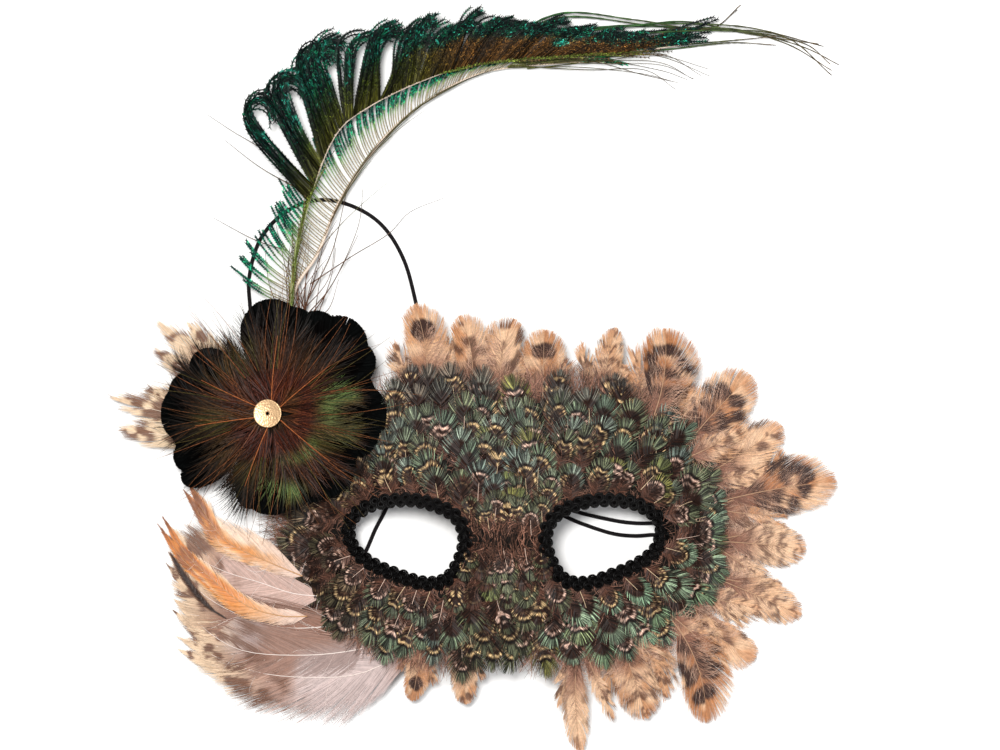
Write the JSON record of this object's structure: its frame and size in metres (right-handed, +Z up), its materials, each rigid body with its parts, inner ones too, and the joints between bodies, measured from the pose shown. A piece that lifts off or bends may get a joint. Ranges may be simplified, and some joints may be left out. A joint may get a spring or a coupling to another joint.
{
  "type": "venetian masquerade mask",
  "caption": "Half mask covered in small iridescent feathers, with braided eye openings, a spotted feather rim, a black rosette with a sequin, curved sword plumes and an elastic cord.",
  "frame": {"origin": "middle of the base of the object without its elastic cord, on the table it lies on", "axes": "+Z up out of the face, +Y up the forehead, +X across the mask towards the end of the plumes"},
  "size_m": [0.255, 0.2696, 0.0415],
  "materials": {
    "lining": "matt felt",
    "shell": "matt moulded sheet",
    "braid": "looped scroll braid",
    "pheasant": "iridescent small feathers",
    "tan": "spotted soft feathers",
    "hackle": "pale glossy hackles",
    "golden": "golden glossy hackles",
    "felt": "matt felt",
    "petal": "black satin feathers",
    "bronze": "bronze green hair-like feathers",
    "sequin": "pale gold metallised, embossed",
    "quill": "bare quill",
    "peacock": "iridescent sword feather",
    "elastic": "braided over rubber"
  },
  "bodies": {
    "root": {"back_lining": "lining", "mask_shell": "shell", "nose_feathers": "pheasant", "forehead_feathers": "pheasant", "left_cheek_feathers": "pheasant", "left_temple_feathers": "pheasant", "left_eye_braid": "braid", "right_cheek_feathers": "pheasant", "right_temple_feathers": "pheasant", "right_eye_braid": "braid", "rim_feather_1": "tan", "rim_feather_2": "tan", "rim_feather_3": "tan", "rim_feather_4": "tan", "rim_feather_5": "tan", "rim_feather_6": "tan", "rim_feather_7": "tan", "rim_feather_8": "tan", "rim_feather_9": "tan", "rim_feather_10": "tan", "rim_feather_11": "tan", "rim_feather_12": "tan", "rim_feather_13": "tan", "rim_feather_14": "tan", "rim_feather_15": "tan", "rim_feather_16": "tan", "rim_feather_17": "tan", "corner_feather_1": "hackle", "corner_feather_2": "hackle", "hackle_1": "golden", "hackle_2": "golden", "hackle_3": "hackle", "hackle_4": "hackle", "hackle_5": "hackle", "hackle_6": "hackle", "rosette_disc": "felt", "petal_1": "petal", "petal_2": "petal", "petal_3": "petal", "petal_4": "petal", "petal_5": "petal", "petal_6": "petal", "petal_7": "petal", "petal_8": "petal", "bronze_feather_1": "bronze", "bronze_feather_2": "bronze", "bronze_feather_3": "bronze", "bronze_feather_4": "bronze", "bronze_feather_5": "bronze", "bronze_feather_6": "bronze", "sequin": "sequin", "upper_sword_quill": "quill", "lower_sword_quill": "quill", "upper_sword_vane": "peacock", "lower_sword_vane": "peacock", "elastic_strand_long": "elastic", "elastic_strand_short": "elastic", "elastic_fold": "elastic", "elastic_knot": "elastic"}
  },
  "joints": []
}
